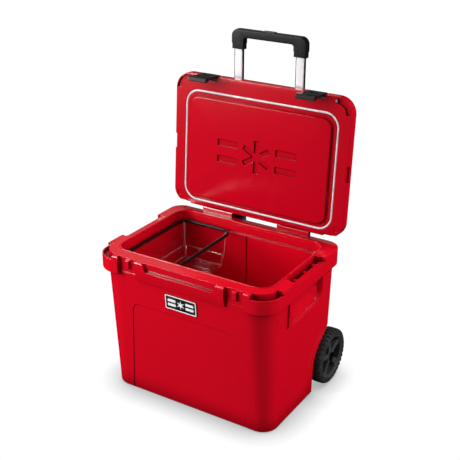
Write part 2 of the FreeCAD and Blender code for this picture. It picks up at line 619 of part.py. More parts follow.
def grip_button():
    """Push button in the top of the grip."""
    b = plate(-21, 21, HANDLE_Y - 6.8, HANDLE_Y + 6.8, 4.6, 4.6, GRIP_TOP - 5, GRIP_TOP + 2.5)
    return fillet_at(b, 1.4, at_z(GRIP_TOP + 2.5))


def grip_screws():
    """Two screw heads on the front of the grip legs."""
    s = cyl((HANDLE_X, HANDLE_Y - 10.6, 1014), (0, 1, 0), 3.6, 2.1)
    cut = box(HANDLE_X - 2.4, HANDLE_X + 2.4, HANDLE_Y - 11, HANDLE_Y - 9.6, 1013.5, 1014.5)
    return both(s.cut(cut))


def inner_tube(x):
    """Inner tube with flats on both sides for the dark strips."""
    w, d = INNER
    t = tube((w - 3.0, d), TUBE_T, 672, 1022, x)
    return t


def strips(x):
    """Dark strips on the two narrow sides of an inner tube."""
    w, d = INNER
    out = []
    for s in (-1, 1):
        a, b = sorted((x + s * (w / 2 - 1.5), x + s * w / 2))
        out.append(box(a, b, HANDLE_Y - d / 2 + 1.2, HANDLE_Y + d / 2 - 1.2, 672, GRIP_BOTTOM - 0.1))
    return Part.makeCompound(out)


# ---- write every node ----
def main():
    shell, foam, liner = body_parts()
    save(shell, "body_shell")
    save(foam, "body_foam")
    save(liner, "body_liner")
    save(badge(), "front_badge")
    pins = both(cyl((LUG_X0 + 3, HINGE_Y, HINGE_Z), (1, 0, 0), PIN_R, LUG_X1 - LUG_X0 - 6))
    save(pins, "hinge_pins")

    lid, core, panel, gasket = lid_parts()
    save(swing(lid), "lid_shell")
    save(swing(core), "lid_foam")
    save(swing(panel), "lid_panel")
    save(swing(gasket), "lid_gasket")
    pins = both(cyl((LATCH_X - 34, LATCH_PIN_Y, LATCH_PIN_Z), (1, 0, 0), PIN_R, 68))
    save(swing(pins), "latch_pins")
    pegs = both(cyl((PEG_X, PEG_Y, LID_BOTTOM - 0.1), (0, 0, 1), PEG_R, 6.1))
    save(swing(pegs), "tie_down_pegs")
    catch = latch()
    save(swing(catch), "latch_right")
    save(swing(mirrored(catch)), "latch_left")

    tray, band = basket()
    save(tray, "basket_tray")
    save(band, "basket_band")

    rubber = tyre()
    centre = hub()
    metal, plug = hub_trim()
    bracket = axle_bracket()
    for side, turn in (("right", lambda s: s), ("left", mirrored)):
        save(turn(rubber), "tyre_" + side)
        save(turn(centre), "wheel_" + side)
        save(turn(metal), "hub_ring_" + side)
        save(turn(plug), "hub_plug_" + side)
        save(turn(bracket), "axle_bracket_" + side)
    save(axle(), "axle")
    save(washers(), "axle_washers")

    save(housing(), "handle_housing")
    for side, x in (("left", -HANDLE_X), ("right", HANDLE_X)):
        low_hole = grown(INNER, 1)
        low_hole = (low_hole[0] + 2 * SLIDE_GAP, low_hole[1] + 2 * SLIDE_GAP)
        up_hole = (INNER[0] + 2 * SLIDE_GAP, INNER[1] + 2 * SLIDE_GAP)
        save(tube(grown(INNER, 2), TUBE_T, 118, 446, x), "outer_tube_" + side)
        save(collar((46, 26), low_hole, 446, LOWER_COLLAR_TOP, x), "lower_collar_" + side)
        z = LOWER_COLLAR_TOP + 0.5 + STROKE_LOW
        save(tube(grown(INNER, 1), TUBE_T, 400, z, x), "middle_tube_" + side)
        save(collar((39, 19), up_hole, z, z + 9, x), "middle_collar_" + side)
        save(inner_tube(x), "inner_tube_" + side)
        save(strips(x), "tube_strips_" + side)
        save(collar((42, 20), INNER, GRIP_BOTTOM, 1009, x), "grip_collar_" + side)
    save(grip(), "handle_grip")
    save(grip_button(), "grip_button")
    save(grip_screws(), "grip_screws")


main()
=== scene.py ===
"""Looks for the wheeled cool box: materials, soft detail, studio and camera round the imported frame."""
import json
import math

import bpy
import bmesh
from mathutils import Matrix, Vector


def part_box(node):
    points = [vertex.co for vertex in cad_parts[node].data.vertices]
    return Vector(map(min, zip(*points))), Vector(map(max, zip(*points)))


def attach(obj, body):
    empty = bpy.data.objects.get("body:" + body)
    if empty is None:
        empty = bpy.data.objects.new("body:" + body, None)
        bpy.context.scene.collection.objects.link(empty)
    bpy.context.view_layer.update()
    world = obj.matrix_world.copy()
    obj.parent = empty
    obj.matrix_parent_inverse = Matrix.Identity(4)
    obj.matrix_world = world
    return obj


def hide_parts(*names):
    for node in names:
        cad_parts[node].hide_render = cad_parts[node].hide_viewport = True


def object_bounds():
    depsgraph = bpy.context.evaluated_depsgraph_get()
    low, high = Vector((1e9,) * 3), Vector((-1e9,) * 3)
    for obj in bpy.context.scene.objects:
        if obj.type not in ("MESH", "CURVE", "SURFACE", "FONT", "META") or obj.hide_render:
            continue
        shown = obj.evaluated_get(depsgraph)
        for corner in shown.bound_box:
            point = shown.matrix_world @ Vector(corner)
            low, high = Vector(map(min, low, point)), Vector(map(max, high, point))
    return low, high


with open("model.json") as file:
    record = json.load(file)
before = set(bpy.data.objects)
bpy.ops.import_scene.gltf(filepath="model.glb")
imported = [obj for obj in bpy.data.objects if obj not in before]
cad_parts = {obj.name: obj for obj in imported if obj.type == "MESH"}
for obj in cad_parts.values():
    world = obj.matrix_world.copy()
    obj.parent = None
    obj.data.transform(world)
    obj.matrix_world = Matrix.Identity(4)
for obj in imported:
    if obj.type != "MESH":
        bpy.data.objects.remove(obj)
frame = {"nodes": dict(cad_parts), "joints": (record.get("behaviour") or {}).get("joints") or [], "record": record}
cad_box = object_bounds()
NODES = frame["nodes"]

MM = 0.001

# ---- camera, at the photographed viewing angle ----
CAMERA_PLACE = (1.3265, -2.085, 1.6195)
CAMERA_AZIMUTH = math.radians(31.72)
CAMERA_TILT = math.radians(23.96)
CAMERA_ROLL = math.radians(0.31)
CAMERA_LENS = 72.06
SENSOR = 36.0

# ---- clean shading: edges sharper than these angles stay crisp ----
CAD_SMOOTH = math.radians(32.0)
PIECE_SMOOTH = math.radians(35.0)
BEVEL_FROM = math.radians(40)
WELD_GAP = 0.00001

# ---- painted shade: colour darkened in creases, corners and recesses ----
PAINTED_SHADE_REACH = 0.07     # how near another surface has to be, in metres
PAINTED_SHADE_SAMPLES = 6
PAINTED_SHADE_RAMP = (0.35, 0.92)

# ---- colours, scene linear ----
RED = (0.62, 0.0018, 0.0125)
# painted shade: a darker copy of the shell's red for the lid and its panel
RED_LID_SHADED = (0.47, 0.0012, 0.0105)
# painted shade: the shell's red set a little darker for the cavity's liner
RED_LINER_SHADED = (0.58, 0.0012, 0.011)
BLACK = (0.007, 0.007, 0.0075)
CHARCOAL = (0.03, 0.03, 0.032)
WHEEL_GREY = (0.042, 0.042, 0.044)
TYRE_GREY = (0.022, 0.022, 0.023)
STEEL = (0.55, 0.55, 0.56)
SEAL = (0.66, 0.67, 0.69)
WHITE = (0.85, 0.85, 0.85)
LATCH_BLACK = (0.005, 0.005, 0.005)
BAND_BLACK = (0.004, 0.004, 0.004)
# painted shade: near-black for the wheel's back web, set back behind the spokes
WEB_SHADE_BLACK = (0.001, 0.001, 0.001)
ANODISED = (0.02, 0.02, 0.022)
TUBE_SILVER = (0.86, 0.87, 0.88)
SCREW_GREY = (0.05, 0.05, 0.05)
HUB_GREY = (0.6, 0.6, 0.61)
TRAY_CLEAR = (0.95, 0.95, 0.95, 1.0)
# painted highlight: pale rose colour for the tray's bends
TRAY_HIGHLIGHT_ROSE = (1.0, 0.72, 0.75, 1.0)
THROUGH_TRAY = (0.97, 0.94, 0.94, 1.0)
FOAM_DARK = (0.72, 0.66, 0.46)
FOAM_PALE = (0.86, 0.8, 0.6)


# ---- material helpers ----
class Nodes:
    """A new material with short calls for adding and linking its nodes."""

    def __init__(self, name):
        self.m = bpy.data.materials.new(name)
        self.m.use_nodes = True
        self.t = self.m.node_tree
        self.t.nodes.clear()
        self.out = self.t.nodes.new("ShaderNodeOutputMaterial")
        self.s = self.t.nodes.new("ShaderNodeBsdfPrincipled")
        self.t.links.new(self.s.outputs["BSDF"], self.out.inputs["Surface"])
        self.co = self.t.nodes.new("ShaderNodeTexCoord").outputs["Object"]

    def set(self, **values):
        """Constants on the shader's own sockets."""
        for k, v in values.items():
            self.s.inputs[k.replace("_", " ")].default_value = v

    def add(self, kind, inputs=None, **props):
        """New node; an input that is a socket is linked, any other is a constant."""
        n = self.t.nodes.new(kind)
        for k, v in props.items():
            setattr(n, k, v)
        for k, v in (inputs or {}).items():
            if isinstance(v, bpy.types.NodeSocket):
                self.t.links.new(v, n.inputs[k])
            else:
                n.inputs[k].default_value = v
        return n

    def link(self, source, name):
        """Link a socket to a named input of the shader."""
        self.t.links.new(source, self.s.inputs[name])

    def noise(self, scale, detail=3.0, rough=0.55, vector=None):
        """Noise in object space, or along the given vector."""
        n = self.add("ShaderNodeTexNoise", {"Scale": scale, "Detail": detail, "Roughness": rough,
                                            "Vector": vector or self.co})
        return n.outputs["Fac"]

    def ramp(self, fac, low, high, a=0.35, b=0.65):
        """Blend of two colours as the factor goes from a to b."""
        n = self.add("ShaderNodeValToRGB", {"Fac": fac})
        e = n.color_ramp.elements
        e[0].position, e[1].position = a, b
        e[0].color = (*low, 1.0)
        e[1].color = (*high, 1.0)
        return n.outputs["Color"]

    def spread(self, fac, low, high, a=0.3, b=0.7):
        """Number from low to high as the factor goes from a to b."""
        n = self.add("ShaderNodeMapRange", {"Value": fac, "From Min": a, "From Max": b,
                                            "To Min": low, "To Max": high})
        return n.outputs["Result"]

    def bump(self, height, strength, distance, normal=None):
        """Fine relief on top of an optional normal."""
        inputs = {"Height": height, "Strength": strength, "Distance": distance}
        if normal is not None:
            inputs["Normal"] = normal
        return self.add("ShaderNodeBump", inputs).outputs["Normal"]

    def edge(self, radius):
        """Normal that rounds sharp edges to the radius."""
        return self.add("ShaderNodeBevel", {"Radius": radius}, samples=4).outputs["Normal"]


def shade(c, k):
    """Colour scaled by k and kept within range."""
    return tuple(min(1.0, v * k) for v in c)


def moulded(name, colour, rough, grain, depth, radius, gloss=0.4, crease_shade=1.0, alone=False):
    """Moulded plastic: faint mottling, fine texture, softened edges and painted shade: colour darkened in creases.

    A crease shade value below 1 is the share of colour left in a tight corner by this painted shade; alone
    leaves other pieces out of the search for corners.
    """
    n = Nodes(name)
    mottle_and_shade = n.ramp(n.noise(6.0, 2.0), shade(colour, 0.97), shade(colour, 1.03), 0.2, 0.8)
    # painted shade: an occlusion node darkens the colour where other surfaces are near
    if crease_shade < 1.0:
        around = n.add("ShaderNodeAmbientOcclusion", {"Distance": PAINTED_SHADE_REACH},
                       samples=PAINTED_SHADE_SAMPLES, only_local=alone)
        deep = n.spread(around.outputs["AO"], crease_shade, 1.0, *PAINTED_SHADE_RAMP)
        shaded_tint = n.add("ShaderNodeVectorMath", {0: mottle_and_shade}, operation="SCALE")
        n.t.links.new(deep, shaded_tint.inputs["Scale"])
        mottle_and_shade = shaded_tint.outputs["Vector"]
    n.link(mottle_and_shade, "Base Color")
    n.link(n.spread(n.noise(4.0, 1.0), rough - 0.006, rough + 0.006, 0.1, 0.9), "Roughness")
    soft = n.edge(radius)
    n.link(n.bump(n.noise(grain, 2.0, 0.6), 0.25, depth, soft), "Normal")
    n.set(Specular_IOR_Level=gloss)
    return n.m


LINE_SCALE = 900.0


def metal(name, colour, rough, axis, stretch=60.0, metallic=1.0):
    """Drawn or brushed metal with fine lines along one axis."""
    n = Nodes(name)
    scale = [LINE_SCALE] * 3
    scale[axis] = LINE_SCALE / stretch
    m = n.add("ShaderNodeMapping", {"Vector": n.co, "Scale": scale})
    lines = n.noise(1.0, 3.0, 0.7, m.outputs["Vector"])
    n.link(n.ramp(lines, shade(colour, 0.88), shade(colour, 1.06)), "Base Color")
    n.link(n.spread(lines, rough - 0.06, rough + 0.08), "Roughness")
    n.link(n.bump(lines, 0.12, 0.0002, n.edge(0.0006)), "Normal")
    n.set(Metallic=metallic)
    return n.m


def rubber(name, colour, rough):
    """Dull rubber with dusty mottling."""
    n = Nodes(name)
    dust = n.noise(55.0, 5.0, 0.65)
    n.link(n.ramp(dust, colour, shade(colour, 1.9), 0.4, 0.8), "Base Color")
    n.link(n.spread(dust, rough - 0.06, rough + 0.1), "Roughness")
    n.link(n.bump(n.noise(1600.0, 2.0), 0.4, 0.00015, n.edge(0.0008)), "Normal")
    n.set(Specular_IOR_Level=0.35)
    return n.m


GLANCE_POWER = 4.0      # how late the plastic starts to mirror at a glancing angle
GLANCE_SHARE = 0.4


def clear_plastic(name, least=0.05, colour=TRAY_CLEAR, metallic=1.0):
    """Clear polished plastic; a larger least share makes the paler, more opaque surface that paints highlights
    onto its bent edges.
    """
    n = Nodes(name)
    ripple = n.bump(n.noise(9.0, 1.0), 0.15, 0.002, n.edge(0.0008))
    n.link(ripple, "Normal")
    n.link(n.spread(n.noise(30.0, 2.0), 0.06, 0.1), "Roughness")
    n.set(Base_Color=colour, Metallic=metallic)
    facing = n.add("ShaderNodeLayerWeight", {"Blend": 0.5, "Normal": ripple}).outputs["Facing"]
    steep = n.add("ShaderNodeMath", {0: facing, 1: GLANCE_POWER}, operation="POWER").outputs["Value"]
    share = n.spread(steep, least, least + GLANCE_SHARE, 0.0, 1.0)
    through = n.add("ShaderNodeBsdfTransparent", {"Color": THROUGH_TRAY})
    mix = n.add("ShaderNodeMixShader", {"Fac": share})
    n.t.links.new(through.outputs["BSDF"], mix.inputs[1])
    n.t.links.new(n.s.outputs["BSDF"], mix.inputs[2])
    n.t.links.new(mix.outputs["Shader"], n.out.inputs["Surface"])
    return n.m


def foam(name):
    """Open-cell foam."""
    n = Nodes(name)
    cells = n.add("ShaderNodeTexVoronoi", {"Scale": 700.0, "Vector": n.co}).outputs["Distance"]
    n.link(n.ramp(cells, FOAM_DARK, FOAM_PALE, 0.1, 0.6), "Base Color")
    n.link(n.bump(cells, 0.5, 0.0005), "Normal")
    n.set(Roughness=0.9)
    return n.m


def make_materials():
    """All materials by slot name: colour, roughness, grain scale, grain depth, edge radius."""
    fine = (1500.0, 0.00003)
    return {
        # crease shade values below 1 paint shade into the creases of the reds
        "shell_red": moulded("red_shell", RED, 0.17, *fine, 0.0016, gloss=0.8, crease_shade=0.35),
        "lid_red": moulded("red_lid", RED_LID_SHADED, 0.17, *fine, 0.0015, gloss=0.5, crease_shade=0.3),
        "panel_red": moulded("red_panel", RED_LID_SHADED, 0.17, *fine, 0.0014, gloss=0.22, crease_shade=0.3),
        "liner_red": moulded("red_liner", RED_LINER_SHADED, 0.2, *fine, 0.0014, gloss=0.5, crease_shade=0.4,
                             alone=True),
        "badge_black": moulded("badge_black", BLACK, 0.35, 1800.0, 0.00004, 0.0004),
        "badge_white": moulded("badge_white", WHITE, 0.4, 1800.0, 0.00004, 0.0003),
        "latch_black": moulded("latch_black", LATCH_BLACK, 0.34, 1300.0, 0.00006, 0.001),
        "band_black": moulded("band_black", BAND_BLACK, 0.3, 900.0, 0.00005, 0.0005, gloss=0.2),
        "seal_grey": rubber("seal_grey", SEAL, 0.6),
        "tyre_black": rubber("tyre_black", TYRE_GREY, 0.66),
        "wheel_black": moulded("wheel_black", WHEEL_GREY, 0.42, 1200.0, 0.00008, 0.001),
        "web_painted_shade": moulded("web_painted_shade", WEB_SHADE_BLACK, 0.7, 900.0, 0.0001, 0.0005, gloss=0.03),
        "hub_black": moulded("hub_black", BLACK, 0.4, 1200.0, 0.00005, 0.0005),
        "bracket_steel": moulded("bracket_paint", BLACK, 0.38, 900.0, 0.0001, 0.001),
        "housing_black": moulded("housing_black", CHARCOAL, 0.5, 1000.0, 0.00015, 0.0015),
        "collar_black": moulded("collar_black", BLACK, 0.36, 1200.0, 0.0001, 0.0008, gloss=0.15),
        "grip_black": moulded("grip_black", BLACK, 0.36, 1200.0, 0.00008, 0.0015, gloss=0.22),
        "button_black": moulded("button_black", CHARCOAL, 0.36, 1400.0, 0.00006, 0.0006),
        "tube_dark": metal("tube_anodised", ANODISED, 0.36, axis=2),
        "tube_silver": metal("tube_silver", TUBE_SILVER, 0.32, axis=2, metallic=0.3),
        "pin_steel": metal("pin_steel", STEEL, 0.28, axis=0),
        "screw_dark": metal("screw_dark", SCREW_GREY, 0.3, axis=1, stretch=4.0),
        "hub_metal": metal("hub_metal", HUB_GREY, 0.38, axis=0, stretch=4.0),
        "clear_plastic": clear_plastic("tray_clear"),
        "tray_painted_highlight": clear_plastic("tray_painted_highlight", least=0.3, colour=TRAY_HIGHLIGHT_ROSE, metallic=0.2),
        "foam": foam("core_foam"),
    }


# ---- dress the CAD nodes ----
def dress(node, material):
    """Material and clean shading on a CAD node; its mesh stays as packed."""
    o = NODES[node]
    for k in range(len(o.material_slots)):
        o.material_slots[k].material = material
    if not o.material_slots:
        o.data.materials.append(material)
    weld = o.modifiers.new("weld", "WELD")
    weld.merge_threshold = WELD_GAP
    m = o.modifiers.new("smooth", "NODES")
    m.node_group = smooth_group(CAD_SMOOTH)


smooth_groups = {}      # groups made so far, by angle


def smooth_group(angle):
    """Geometry nodes group that shades smooth except across edges sharper than the angle."""
    if angle in smooth_groups:
        return smooth_groups[angle]
    g = bpy.data.node_groups.new("smooth_by_angle_%d" % round(math.degrees(angle)), "GeometryNodeTree")
    g.interface.new_socket("Geometry", in_out="INPUT", socket_type="NodeSocketGeometry")
    g.interface.new_socket("Geometry", in_out="OUTPUT", socket_type="NodeSocketGeometry")
    a = g.nodes.new("NodeGroupInput")
    b = g.nodes.new("NodeGroupOutput")
    face = g.nodes.new("GeometryNodeSetShadeSmooth")
    face.domain = "FACE"
    edge = g.nodes.new("GeometryNodeSetShadeSmooth")
    edge.domain = "EDGE"
    turn = g.nodes.new("GeometryNodeInputMeshEdgeAngle")
    less = g.nodes.new("FunctionNodeCompare")
    less.operation = "LESS_THAN"
    less.inputs[1].default_value = angle
    g.links.new(turn.outputs["Unsigned Angle"], less.inputs[0])
    g.links.new(a.outputs[0], face.inputs["Geometry"])
    g.links.new(face.outputs[0], edge.inputs["Geometry"])
    g.links.new(less.outputs[0], edge.inputs["Shade Smooth"])
    g.links.new(edge.outputs[0], b.inputs[0])
    smooth_groups[angle] = g
    return g


# ---- mesh helpers ----
CORNER_STEPS = 10
FINE_CORNER = 12


def piece(name, bm, material, body, nodes=(), matrix=None, bevel=0.0):
    """Turn a bmesh into a piece that rides on a body and may stand for CAD nodes."""
    bmesh.ops.recalc_face_normals(bm, faces=bm.faces)
    mesh = bpy.data.meshes.new(name)
    bm.to_mesh(mesh)
    bm.free()
    if matrix is not None:
        mesh.transform(matrix)
    mesh.materials.append(material)
    o = bpy.data.objects.new(name, mesh)
    bpy.context.scene.collection.objects.link(o)
    if bevel:
        m = o.modifiers.new("soften", "BEVEL")
        m.width = bevel
        m.segments = 2
        m.limit_method = "ANGLE"
        m.angle_limit = BEVEL_FROM
    m = o.modifiers.new("smooth", "NODES")
    m.node_group = smooth_group(PIECE_SMOOTH)
    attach(o, body)
    if nodes:
        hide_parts(*nodes)
    return o


def skin(bm, loops, closed=False, caps=False):
    """Quads between equal-length loops; closed joins last to first, caps fills both ends."""
    rows = [[bm.verts.new(p) for p in loop] for loop in loops]
    pairs = list(zip(rows, rows[1:])) + ([(rows[-1], rows[0])] if closed else [])
    for low, high in pairs:
        for k in range(len(low)):
            n = (k + 1) % len(low)
            bm.faces.new((low[k], low[n], high[n], high[k]))
    if caps:
        bm.faces.new(rows[0])
        bm.faces.new(list(reversed(rows[-1])))
    return rows


def middle(lo, hi):
    """Middle of a box."""
    return ((lo.x + hi.x) / 2, (lo.y + hi.y) / 2, (lo.z + hi.z) / 2)


def on_wheel(c, x, r, t):
    """Point at x along the wheel axis through c, radius r and angle t."""
    return (c[0] + x, c[1] + r * math.cos(t), c[2] + r * math.sin(t))


def lathe(bm, profile, centre, sides, sign):
    """Revolve closed (x, radius) points about the wheel axis through centre."""
    turn = [2 * math.pi * k / sides for k in range(sides)]
    loops = [[on_wheel(centre, sign * x, r, t) for t in turn] for x, r in profile]
    skin(bm, loops, closed=True)


def round_rect(x0, x1, y0, y1, r, steps=CORNER_STEPS):
    """Points of a rectangle with rounded corners."""
    corners = ((x1 - r, y1 - r, 0), (x0 + r, y1 - r, 90), (x0 + r, y0 + r, 180), (x1 - r, y0 + r, 270))
    out = []
    for cx, cy, start in corners:
        for k in range(steps + 1):
            t = math.radians(start + 90.0 * k / steps)
            out.append((cx + r * math.cos(t), cy + r * math.sin(t)))
    return out


def rim_sweep(bm, box, radius, section, steps):
    """Sweep section points (inward offset, height) round a rounded rectangle."""
    x0, x1, y0, y1 = box
    loops = []
    for inset, z in section:
        r = max(radius - inset, MM)
        pts = round_rect(x0 + inset, x1 - inset, y0 + inset, y1 - inset, r, steps)
        loops.append([(x, y, z) for x, y in pts])
    skin(bm, loops, closed=True)


# ---- basket ----
TRAY_WALL = 2.5         # millimetres, as are the sizes of seal, badge and wheels below
TRAY_STEP = 34
# painted highlight: these rows and corner strips get the paler tray material
HIGHLIGHT_BEND_ROWS = (2, 7)      # rows of faces round the step's edge and round the floor's edge
HIGHLIGHT_WALL_ROWS = (0, 5)      # rows of faces on the upper and lower walls
BAND_WIDTH = 9.0
BAND_CORNER = 38


def paint_bend_highlights(bm, around, first):
    """Second material, a painted highlight, on the tray's outer bends: round the step and floor, down the corners.
    """
    bm.faces.ensure_lookup_table()
    for row in HIGHLIGHT_BEND_ROWS:
        for k in range(around):
            bm.faces[(first + row) * around + k].material_index = 1
    for row in HIGHLIGHT_WALL_ROWS:
        for corner in range(4):
            k = corner * around // 4 + CORNER_STEPS // 2
            bm.faces[(first + row) * around + k].material_index = 1


def basket_tray(mats):
    """Clear two-level tray with a rolled edge."""
    lo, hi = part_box("basket_tray")
    wall = TRAY_WALL * MM
    step = lo.z + TRAY_STEP * MM
    bm = bmesh.new()

    def ring(inset, z, r):
        """Outline of the tray at one height."""
        pts = round_rect(lo.x + inset, hi.x - inset, lo.y + inset, hi.y - inset, r)
        return [(x, y, z) for x, y in pts]

    outer = [(0.0, hi.z, 30), (5.4, step + 6 * MM, 25), (6.2, step + 2.6 * MM, 24),
             (7.5, step + 0.8 * MM, 22.5), (10.5, step, 20), (11.3, step - 1.2 * MM, 19.5),
             (13.4, lo.z + 6 * MM, 18.4), (14.3, lo.z + 2.4 * MM, 17.6),
             (16.5, lo.z + 0.5 * MM, 15.5), (19.5, lo.z, 12.5)]
    loops = [ring(a * MM, z, r * MM) for a, z, r in outer]
    inner = [ring(a * MM + wall, z + (0 if k == 0 else wall), (r - TRAY_WALL) * MM)
             for k, (a, z, r) in enumerate(outer)]
    rows = skin(bm, list(reversed(inner)) + loops)
    paint_bend_highlights(bm, len(rows[0]), len(inner))
    bm.faces.new(rows[0])
    bm.faces.new(rows[-1])
    tray = piece("basket_clear_tray", bm, mats["clear_plastic"], "basket", ["basket_tray"])
    # painted highlight material for the bends and corners
    tray.data.materials.append(mats["tray_painted_highlight"])


def basket_band(mats):
    """Black rubber rim that lies on the tray's edge."""
    lo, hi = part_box("basket_band")
    h = hi.z - lo.z
    w = BAND_WIDTH * MM
    section = [(0.6 * MM, 0.0), (0.0, 0.25 * h), (0.0, 0.62 * h), (0.12 * w, 0.85 * h), (0.34 * w, h),
               (0.66 * w, h), (0.88 * w, 0.85 * h), (w, 0.62 * h), (w, 0.25 * h), (w - 0.6 * MM, 0.0)]
    bm = bmesh.new()
    raised = [(a, lo.z + z) for a, z in section]
    rim_sweep(bm, (lo.x, hi.x, lo.y, hi.y), BAND_CORNER * MM, raised, FINE_CORNER)
    piece("basket_rubber_rim", bm, mats["band_black"], "basket", ["basket_band"])


# ---- lid pieces ----
def hinge_swing(direction=1.0):
    """Turn that takes a closed lid piece to the open rest position, or back for direction -1."""
    j = next(j for j in frame["joints"] if j["name"] == "lid_hinge")
    p = Vector(j["pos_m"])
    turn = -direction * math.radians(max(j["range_deg"]))
    return Matrix.Translation(p) @ Matrix.Rotation(turn, 4, "X") @ Matrix.Translation(-p)


def closed_box(node):
    """Box of a lid node as it lies with the lid closed."""
    back = hinge_swing(-1.0)
    pts = [back @ v.co for v in NODES[node].data.vertices]
    lo = Vector([min(p[k] for p in pts) for k in range(3)])
    hi = Vector([max(p[k] for p in pts) for k in range(3)])
    return lo, hi


SEAL_WIDTH = 6.0
SEAL_CORNER = 47


def gasket(mats):
    """Soft seal with a rounded crown and two side fins in the lid groove."""
    lo, hi = closed_box("lid_gasket")
    w = SEAL_WIDTH * MM
    z0, z1 = lo.z, hi.z
    section = [(0.0, z1), (0.0, z0 + 1.6 * MM), (0.12 * w, z0 + 0.9 * MM), (0.2 * w, z0 + 1.3 * MM),
               (0.3 * w, z0 + 0.35 * MM), (0.42 * w, z0), (0.58 * w, z0), (0.7 * w, z0 + 0.35 * MM),
               (0.8 * w, z0 + 1.3 * MM), (0.88 * w, z0 + 0.9 * MM), (w, z0 + 1.6 * MM), (w, z1)]
    bm = bmesh.new()
    rim_sweep(bm, (lo.x, hi.x, lo.y, hi.y), SEAL_CORNER * MM, section, FINE_CORNER)
    piece("lid_seal", bm, mats["seal_grey"], "lid", ["lid_gasket"], hinge_swing())


# ---- front plate ----
BADGE_HALF_WIDTH = 53
BADGE_HALF_HEIGHT = 23
BADGE_CORNER = 5
BADGE_TILT = math.radians(94.6)     # lies along the sloping front wall
BORDER_WIDTH = 3.2
STAR_OUTER = 14.5
STAR_INNER = 5.0
BAR_X = (17, 44)
BAR_Y = (2.8, 11.2)
BAR_CORNER = 1.4


def slab(bm, points, z0, z1):
    """Flat slab with the outline of the points."""
    skin(bm, [[(x, y, z0) for x, y in points], [(x, y, z1) for x, y in points]], caps=True)


def star_points(outer, inner, arms=6):
    """Outline of a star with straight arms."""
    out = []
    for k in range(2 * arms):
        r = outer if k % 2 == 0 else inner
        t = math.pi * k / arms + math.pi / 2
        out.append((r * math.cos(t), r * math.sin(t)))
    return out


def badge(mats):
    """Black plate with a raised white border and a plain star between bars."""
    lo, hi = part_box("front_badge")
    w, h = BADGE_HALF_WIDTH * MM, BADGE_HALF_HEIGHT * MM
    place = Matrix.Translation((lo + hi) / 2) @ Matrix.Rotation(BADGE_TILT, 4, "X")
    base = 1.0 * MM
    bm = bmesh.new()
    slab(bm, round_rect(-w, w, -h, h, BADGE_CORNER * MM), -1.5 * MM, base)
    piece("badge_plate", bm, mats["badge_black"], "cooler", ["front_badge"], place,
          bevel=0.0004)
    bm = bmesh.new()
    t = BORDER_WIDTH * MM
    section = [(0.0, base - 0.6 * MM), (0.0, base + 0.2 * MM), (0.3 * MM, base + 0.5 * MM),
               (t - 0.3 * MM, base + 0.5 * MM), (t, base + 0.2 * MM), (t, base - 0.6 * MM)]
    outline = (-w + 0.1 * MM, w - 0.1 * MM, -h + 0.1 * MM, h - 0.1 * MM)
    rim_sweep(bm, outline, BADGE_CORNER * MM, section, 6)
    piece("badge_border", bm, mats["badge_white"], "cooler", (), place)
    bm = bmesh.new()
    low, high = base - 0.4 * MM, base + 0.5 * MM
    slab(bm, star_points(STAR_OUTER * MM, STAR_INNER * MM), low, high)
    for sx in (-1, 1):
        for sy in (-1, 1):
            x0, x1 = sorted(sx * x * MM for x in BAR_X)
            y0, y1 = sorted(sy * y * MM for y in BAR_Y)
            slab(bm, round_rect(x0, x1, y0, y1, BAR_CORNER * MM, 4), low, high)
    piece("badge_emblem", bm, mats["badge_white"], "cooler", (), place)


# ---- wheels ----
LUGS = 34
LUG_SHARE = 0.36                    # half width of a lug, as a share of the spacing
LUG_PHASE = {-1: 0.25, 1: 0.75}     # the two shoulders are staggered
BLOCK_SHARE = 0.34
BLOCK_HALF = 9.5
BLOCK_DEEP = 3.8
CHEVRON = 0.3
TYRE_DEPTH = 20
SPOKES = 5
SPOKE_START = math.radians(98)
SPOKE_STOPS = 14
ROOT_REACH = 0.22                   # shares of a spoke's length over which its ends flare
TIP_START = 0.74


def tyre_piece(side, sign, mats):
    """Tyre carcass with sidewall bead rings and separate tread lugs."""
    lo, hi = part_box("tyre_" + side)
    half = (hi.x - lo.x) / 2
    r = (hi.z - lo.z) / 2
    c = middle(lo, hi)
    rin = r - TYRE_DEPTH * MM
    bm = bmesh.new()
    crown = r - 3.4 * MM
    profile = [(-half + 2 * MM, rin), (-half + 0.6 * MM, rin + 2 * MM),
               (-half + 0.6 * MM, rin + 4 * MM), (-half + 1.6 * MM, rin + 5 * MM),
               (-half + 1.4 * MM, rin + 9 * MM), (-half + 3.2 * MM, rin + 13 * MM),
               (-half + 7 * MM, crown - 0.6 * MM), (-half + 12 * MM, crown)]
    mirror = [(-x, q) for x, q in reversed(profile)]
    lathe(bm, profile + mirror, c, 120, sign)
    step = 2 * math.pi / LUGS
    for row in (-1, 1):
        for k in range(LUGS):
            lug(bm, c, sign * row, step * (k + LUG_PHASE[row]), step * LUG_SHARE, half, r)
    for k in range(LUGS):
        block(bm, c, step * k, step * BLOCK_SHARE, BLOCK_HALF * MM, r, BLOCK_DEEP * MM)
    piece("tyre_rubber_" + side, bm, mats["tyre_black"], "wheel_" + side, ["tyre_" + side],
          bevel=0.0006)


def lug(bm, c, row, mid, w, half, r):
    """Shoulder lug that wraps from the crown down over the sidewall."""
    path = [(half - 17 * MM, r), (half - 8 * MM, r - 0.5 * MM), (half - 3.2 * MM, r - 3.0 * MM),
            (half - 0.4 * MM, r - 7.5 * MM), (half, r - 10.5 * MM)]
    deep = [(half - 17 * MM, r - 5 * MM), (half - 9 * MM, r - 5 * MM), (half - 6 * MM, r - 7 * MM),
            (half - 3.6 * MM, r - 10 * MM), (half - 3.0 * MM, r - 11.5 * MM)]
    loops = []
    for (x, q), (xd, qd) in zip(path, deep):
        a, b = mid - w, mid + w
        loops.append([on_wheel(c, row * x, q, a), on_wheel(c, row * x, q, b),
                      on_wheel(c, row * xd, qd, b), on_wheel(c, row * xd, qd, a)])
    skin(bm, loops, caps=True)


